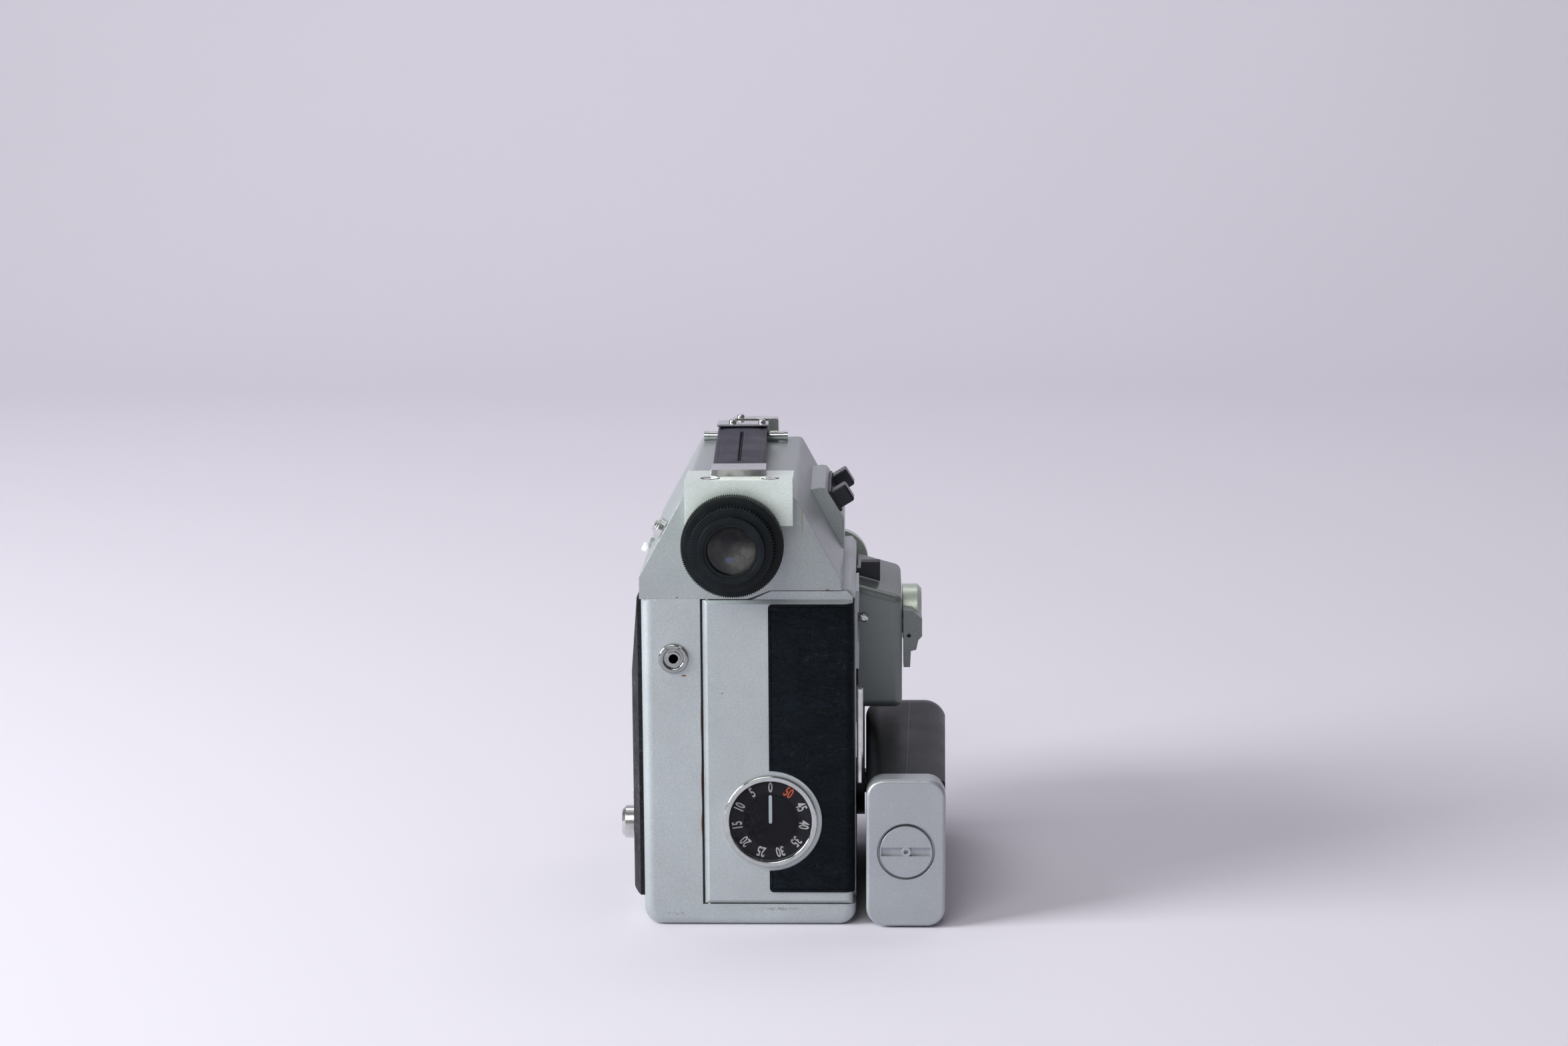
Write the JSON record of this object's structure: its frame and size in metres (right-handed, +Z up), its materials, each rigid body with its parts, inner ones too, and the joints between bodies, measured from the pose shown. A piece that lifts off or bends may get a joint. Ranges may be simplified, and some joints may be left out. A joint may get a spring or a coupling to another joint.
{
  "type": "cine film camera",
  "caption": "Vintage cine film camera with a folding battery grip, rear film door with footage counter, reflex eyepiece, zoom lens, side controls and a top carrying strap.",
  "frame": {"origin": "centre of the tripod socket's mouth, in the plane of the flat base", "axes": "+Z up, +Y forward along the lens, +X to the right as seen by the person filming"},
  "size_m": [0.1282, 0.206, 0.1809],
  "materials": {
    "main_casing": "satin silver paint over die-cast alloy",
    "top_housing": "satin silver paint over die-cast alloy",
    "viewfinder_block": "satin silver paint",
    "left_side_cover": "black leatherette over a moulded cover",
    "front_plate": "matte black paint",
    "film_chamber": "matte black moulding",
    "film_gate": "polished rails around the aperture",
    "lens_barrel": "black anodised",
    "filter_ring": "black anodised",
    "fps_dial": "satin silver",
    "lens_elements": "coated glass",
    "drive_motor": "plain steel can",
    "circuit_board": "phenolic board",
    "board_components": "moulded component bodies",
    "light_meter": "moulded meter case",
    "viewfinder_tube": "black inside and out",
    "reflex_prism": "polished",
    "eyepiece_collar": "finely knurled rim",
    "eyepiece_lens": "coated glass",
    "dioptre_ring": "serrated rim",
    "remote_socket": "bright plated",
    "carry_strap": "black grained",
    "strap_rear_plate": "bright plated",
    "strap_front_plate": "bright plated",
    "strap_front_rod": "bright plated",
    "strap_anchor": "bright plated",
    "roof_screws": "slotted and domed heads",
    "side_pod": "satin silver paint",
    "pod_screw": "domed head",
    "zoom_button_bezel": "black",
    "tripod_socket": "threaded bush",
    "door_hinge_pin": "plain",
    "grip_pivot": "plain",
    "film_door": "satin silver paint",
    "door_leather": "black grained leatherette",
    "counter_bezel": "bright plated",
    "counter_dial": "printed number band",
    "counter_window": "clear window",
    "counter_pointer": "black disc with a white line",
    "door_latch": "bright plated",
    "grip_shell": "black covering with fine grain",
    "grip_batteries": "jacketed dry cells",
    "grip_contacts": "spring contacts on a plate",
    "battery_cap": "satin silver paint",
    "coin_lock": "turned disc with a coin slot",
    "trigger": "black",
    "grip_lock_knob": "turned",
    "grip_release_lever": "satin",
    "zoom_tele_button": "black",
    "zoom_wide_button": "black",
    "main_switch": "black, ribbed top",
    "exposure_dial": "bright plated",
    "battery_check_button": "pale",
    "power_knob": "turned with a chamfer",
    "speed_wheel": "serrated edge",
    "zoom_ring": "black ribbed",
    "focus_ring": "black ribbed sleeve",
    "shutter_disc": "thin blade and gear on one shaft",
    "motor_shaft": "pinion and worm",
    "take_up_spindle": "moulded wheel and claw"
  },
  "bodies": {
    "camera": {"main_casing": "main_casing", "top_housing": "top_housing", "viewfinder_block": "viewfinder_block", "left_side_cover": "left_side_cover", "front_plate": "front_plate", "film_chamber": "film_chamber", "film_gate": "film_gate", "lens_barrel": "lens_barrel", "filter_ring": "filter_ring", "lens_elements": "lens_elements", "drive_motor": "drive_motor", "circuit_board": "circuit_board", "board_components": "board_components", "light_meter": "light_meter", "viewfinder_tube": "viewfinder_tube", "reflex_prism": "reflex_prism", "eyepiece_collar": "eyepiece_collar", "remote_socket": "remote_socket", "carry_strap": "carry_strap", "strap_rear_plate": "strap_rear_plate", "strap_front_plate": "strap_front_plate", "strap_front_rod": "strap_front_rod", "strap_anchor": "strap_anchor", "roof_screws": "roof_screws", "side_pod": "side_pod", "pod_screw": "pod_screw", "zoom_button_bezel": "zoom_button_bezel", "tripod_socket": "tripod_socket", "door_hinge_pin": "door_hinge_pin", "grip_pivot": "grip_pivot"},
    "door": {"film_door": "film_door", "door_leather": "door_leather", "counter_bezel": "counter_bezel", "counter_dial": "counter_dial", "counter_window": "counter_window"},
    "pointer": {"counter_pointer": "counter_pointer"},
    "latch": {"door_latch": "door_latch"},
    "dioptre": {"dioptre_ring": "dioptre_ring", "eyepiece_lens": "eyepiece_lens"},
    "grip": {"grip_shell": "grip_shell", "grip_batteries": "grip_batteries", "grip_contacts": "grip_contacts"},
    "cap": {"battery_cap": "battery_cap"},
    "coin": {"coin_lock": "coin_lock"},
    "trigger_body": {"trigger": "trigger"},
    "lock_knob": {"grip_lock_knob": "grip_lock_knob"},
    "release_lever": {"grip_release_lever": "grip_release_lever"},
    "zoom_tele": {"zoom_tele_button": "zoom_tele_button"},
    "zoom_wide": {"zoom_wide_button": "zoom_wide_button"},
    "switch": {"main_switch": "main_switch"},
    "exposure": {"exposure_dial": "exposure_dial"},
    "check_button": {"battery_check_button": "battery_check_button"},
    "power": {"power_knob": "power_knob"},
    "speed": {"speed_wheel": "speed_wheel"},
    "fps": {"fps_dial": "fps_dial"},
    "zoom": {"zoom_ring": "zoom_ring"},
    "focus": {"focus_ring": "focus_ring"},
    "shutter": {"shutter_disc": "shutter_disc"},
    "rotor": {"motor_shaft": "motor_shaft"},
    "spindle": {"take_up_spindle": "take_up_spindle"}
  },
  "joints": [
    {"name": "film_door_hinge", "type": "hinge", "parent": "camera", "child": "door", "pos_m": [-0.0152, -0.0609, 0.06], "axis": [0, 0, -1], "range_deg": [0, 100]},
    {"name": "counter_pointer_turn", "type": "hinge", "parent": "door", "child": "pointer", "pos_m": [0.0081, -0.0625, 0.0414], "axis": [0, -1, 0], "range_deg": [0, 323]},
    {"name": "door_latch_slide", "type": "slide", "parent": "camera", "child": "latch", "axis": [0, 0, 1], "range_m": [0, 0.006]},
    {"name": "dioptre_ring_turn", "type": "hinge", "parent": "camera", "child": "dioptre", "pos_m": [-0.005, -0.078, 0.1483], "axis": [0, 1, 0], "range_deg": [-45, 45]},
    {"name": "grip_fold", "type": "hinge", "parent": "camera", "child": "grip", "pos_m": [0.055, 0.048, 0.0286], "axis": [1, 0, 0], "range_deg": [0, 90]},
    {"name": "battery_cap_slide", "type": "slide", "parent": "grip", "child": "cap", "axis": [0, -1, 0], "range_m": [0, 0.03]},
    {"name": "coin_lock_turn", "type": "hinge", "parent": "cap", "child": "coin", "pos_m": [0.0591, -0.063, 0.03], "axis": [0, 1, 0], "range_deg": [0, 90]},
    {"name": "trigger_press", "type": "slide", "parent": "camera", "child": "trigger_body", "axis": [0, -1, 0], "range_m": [0, 0.004], "stiffness_N_per_m": 350, "springref_m": -0.002},
    {"name": "grip_lock_knob_turn", "type": "hinge", "parent": "camera", "child": "lock_knob", "pos_m": [0.062, 0.028, 0.104], "axis": [1, 0, 0], "range_deg": [0, 90]},
    {"name": "grip_release_lever_turn", "type": "hinge", "parent": "camera", "child": "release_lever", "pos_m": [0.062, 0.009, 0.101], "axis": [1, 0, 0], "range_deg": [0, 18], "stiffness_Nm_per_rad": 0.05, "springref_deg": -5.73},
    {"name": "zoom_tele_press", "type": "slide", "parent": "camera", "child": "zoom_tele", "axis": [-0.8546, 0.0272, -0.5186], "range_m": [0, 0.002], "stiffness_N_per_m": 400, "springref_m": -0.0008},
    {"name": "zoom_wide_press", "type": "slide", "parent": "camera", "child": "zoom_wide", "axis": [-0.8546, 0.0272, -0.5186], "range_m": [0, 0.002], "stiffness_N_per_m": 400, "springref_m": -0.0008},
    {"name": "main_switch_slide", "type": "slide", "parent": "camera", "child": "switch", "axis": [0, 1, 0], "range_m": [0, 0.006]},
    {"name": "exposure_dial_turn", "type": "hinge", "parent": "camera", "child": "exposure", "pos_m": [-0.0314, -0.054, 0.1512], "axis": [-0.8748, 0, 0.4844], "range_deg": [-150, 150]},
    {"name": "battery_check_press", "type": "slide", "parent": "camera", "child": "check_button", "axis": [0.8748, 0, -0.4844], "range_m": [0, 0.0005], "stiffness_N_per_m": 400, "springref_m": -0.0008},
    {"name": "power_knob_turn", "type": "hinge", "parent": "camera", "child": "power", "pos_m": [-0.047, -0.022, 0.03], "axis": [-1, 0, 0], "range_deg": [0, 120]},
    {"name": "speed_wheel_turn", "type": "hinge", "parent": "camera", "child": "speed", "pos_m": [-0.045, -0.0152, 0.0405], "axis": [-1, 0, 0], "range_deg": [0, 270]},
    {"name": "fps_dial_turn", "type": "hinge", "parent": "camera", "child": "fps", "pos_m": [0.0325, 0.065, 0.1188], "axis": [0, 1, 0], "range_deg": [-60, 60]},
    {"name": "zoom_ring_turn", "type": "hinge", "parent": "camera", "child": "zoom", "pos_m": [0.004, 0.075, 0.086], "axis": [0, 1, 0], "range_deg": [-50, 50]},
    {"name": "focus_ring_turn", "type": "hinge", "parent": "camera", "child": "focus", "pos_m": [0.004, 0.097, 0.086], "axis": [0, 1, 0], "range_deg": [0, 200]},
    {"name": "shutter_turn", "type": "hinge", "parent": "camera", "child": "shutter", "pos_m": [0.018, 0.0217, 0.086], "axis": [0, 1, 0], "continuous": true},
    {"name": "motor_shaft_turn", "type": "hinge", "parent": "camera", "child": "rotor", "pos_m": [0.026, 0.024, 0.06767], "axis": [0, 1, 0], "continuous": true},
    {"name": "take_up_spindle_turn", "type": "hinge", "parent": "camera", "child": "spindle", "pos_m": [0.02, -0.02, 0.05667], "axis": [1, 0, 0], "continuous": true}
  ],
  "couplings": [
    {"joint": "motor_shaft_turn", "follows": "shutter_turn", "ratio": -1},
    {"joint": "take_up_spindle_turn", "follows": "shutter_turn", "ratio": 0.041667}
  ]
}
